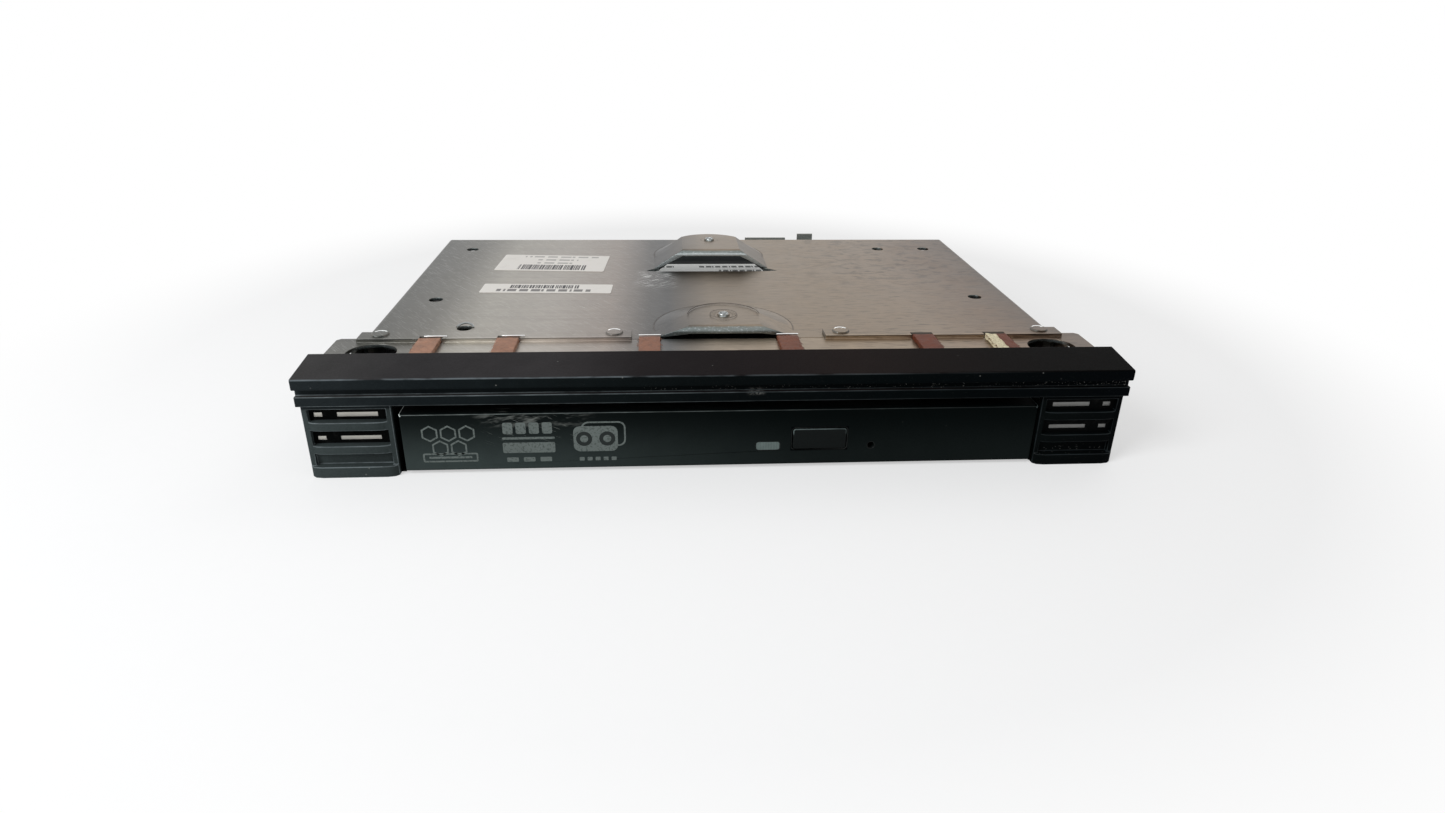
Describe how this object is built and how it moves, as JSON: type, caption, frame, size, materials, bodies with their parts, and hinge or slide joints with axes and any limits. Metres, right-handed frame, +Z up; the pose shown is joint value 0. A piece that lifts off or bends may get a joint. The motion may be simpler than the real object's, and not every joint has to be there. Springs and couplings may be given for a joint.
{
  "type": "optical disc drive",
  "caption": "Slim tray-loading disc drive in a folded sheet-metal carrier with a black slatted bezel, copper grounding strips and a rear adapter board",
  "frame": {"origin": "middle of the bounding box in plan, at the plane the carrier stands on", "axes": "+X to the right of somebody facing the drive's face, +Y to the back, +Z up"},
  "size_m": [0.1644, 0.1394, 0.0259],
  "materials": {
    "black_plastic": "satin moulded black, slightly green",
    "panel_black": "fine spark texture, near black",
    "button_black": "smooth black",
    "lamp_clear": "milky light pipe",
    "galvanised": "zinc-coated sheet with soft mottling",
    "drive_sheet": "plain zinc-coated sheet",
    "gasket_copper": "woven copper-coloured conductive cloth over foam",
    "bare_foam": "cream open foam",
    "paper_white": "printed adhesive label",
    "screw_steel": "small plated fasteners",
    "board_green": "solder-masked circuit board",
    "connector_black": "moulded connector body",
    "rail_steel": "bright rolled and ground steel",
    "guide_plastic": "slippery pale moulding",
    "tray_black": "satin moulded tray",
    "ribbon_film": "amber film cable",
    "cast_frame": "grey pressed frame",
    "cover_tin": "thin plain dust cover",
    "grommet_rubber": "soft black rubber",
    "motor_steel": "turned and pressed motor parts",
    "hub_plastic": "dark moulded hub",
    "sled_body": "dark moulded sled",
    "lens_glass": "coated lens",
    "latch_plastic": "white slippery lever"
  },
  "bodies": {
    "carrier": {"front_bezel": "black_plastic", "front_flange": "galvanised", "carrier_plate": "galvanised", "side_bracket_left": "galvanised", "side_bracket_right": "galvanised", "bracket_rivets": "screw_steel", "drive_screws": "screw_steel", "gasket_1": "gasket_copper", "gasket_2": "gasket_copper", "gasket_3": "gasket_copper", "gasket_4": "gasket_copper", "gasket_5": "gasket_copper", "gasket_6": "gasket_copper", "gasket_foam": "bare_foam", "rating_label": "paper_white", "serial_label": "paper_white", "adapter_board": "board_green", "adapter_socket": "connector_black", "adapter_bracket": "galvanised", "adapter_screws": "screw_steel", "drive_base": "drive_sheet", "drive_cover": "drive_sheet", "drive_label": "paper_white", "cover_screws": "screw_steel", "connector_board": "board_green", "rear_connector": "connector_black", "guide_left": "guide_plastic", "guide_right": "guide_plastic", "flex_ribbon": "ribbon_film", "latch_post": "rail_steel", "eject_spring": "rail_steel"},
    "tray": {"tray": "tray_black", "tray_bezel": "panel_black", "led_window": "lamp_clear", "tray_board": "board_green", "eject_switch": "connector_black", "tray_under_cover": "drive_sheet", "tray_screws": "screw_steel", "traverse_frame": "cast_frame", "traverse_grommets": "grommet_rubber", "traverse_screws": "screw_steel", "traverse_cover": "cover_tin", "guide_rod_left": "rail_steel", "guide_rod_right": "rail_steel", "spindle_stator": "motor_steel", "sled_motor": "motor_steel", "latch_solenoid": "motor_steel"},
    "rail_left": {"rail_left": "rail_steel"},
    "rail_right": {"rail_right": "rail_steel"},
    "eject_button": {"eject_button": "button_black"},
    "spindle": {"spindle_rotor": "motor_steel", "turntable": "hub_plastic", "turntable_pad": "grommet_rubber", "hub_claws": "hub_plastic"},
    "sled": {"pickup_sled": "sled_body"},
    "lens": {"lens_holder": "sled_body", "objective_lens": "lens_glass"},
    "lead_screw": {"lead_screw": "rail_steel"},
    "latch": {"eject_latch": "latch_plastic"}
  },
  "joints": [
    {"name": "tray_slide", "type": "slide", "parent": "carrier", "child": "tray", "axis": [0, -1, 0], "range_m": [0, 0.108], "deforming": ["flex_ribbon"]},
    {"name": "rail_left_slide", "type": "slide", "parent": "carrier", "child": "rail_left", "axis": [0, -1, 0], "range_m": [0, 0.054]},
    {"name": "rail_right_slide", "type": "slide", "parent": "carrier", "child": "rail_right", "axis": [0, -1, 0], "range_m": [0, 0.054]},
    {"name": "eject_press", "type": "slide", "parent": "tray", "child": "eject_button", "axis": [0, 1, 0], "range_m": [0, 0.0006], "stiffness_N_per_m": 500},
    {"name": "spindle_spin", "type": "hinge", "parent": "tray", "child": "spindle", "pos_m": [0.0003, -0.00193, 0.00745], "axis": [0, 0, 1], "continuous": true},
    {"name": "sled_travel", "type": "slide", "parent": "tray", "child": "sled", "axis": [0.682, -0.7314, 0], "range_m": [-0.0075, 0.0275]},
    {"name": "lead_screw_spin", "type": "hinge", "parent": "tray", "child": "lead_screw", "pos_m": [0.03283, -0.01262, 0.00475], "axis": [0.682, -0.7314, 0], "range_deg": [-900, 3300]},
    {"name": "lens_focus", "type": "slide", "parent": "sled", "child": "lens", "axis": [0, 0, 1], "range_m": [-0.00025, 0.00025], "stiffness_N_per_m": 60},
    {"name": "latch_swing", "type": "hinge", "parent": "tray", "child": "latch", "pos_m": [0.0369, 0.03007, 0.00415], "axis": [0, 0, 1], "range_deg": [-10, 0]}
  ],
  "couplings": [
    {"joint": "rail_left_slide", "follows": "tray_slide", "ratio": 0.5},
    {"joint": "rail_right_slide", "follows": "tray_slide", "ratio": 0.5},
    {"joint": "lead_screw_spin", "follows": "sled_travel", "rad_per_m": 2094.4}
  ]
}
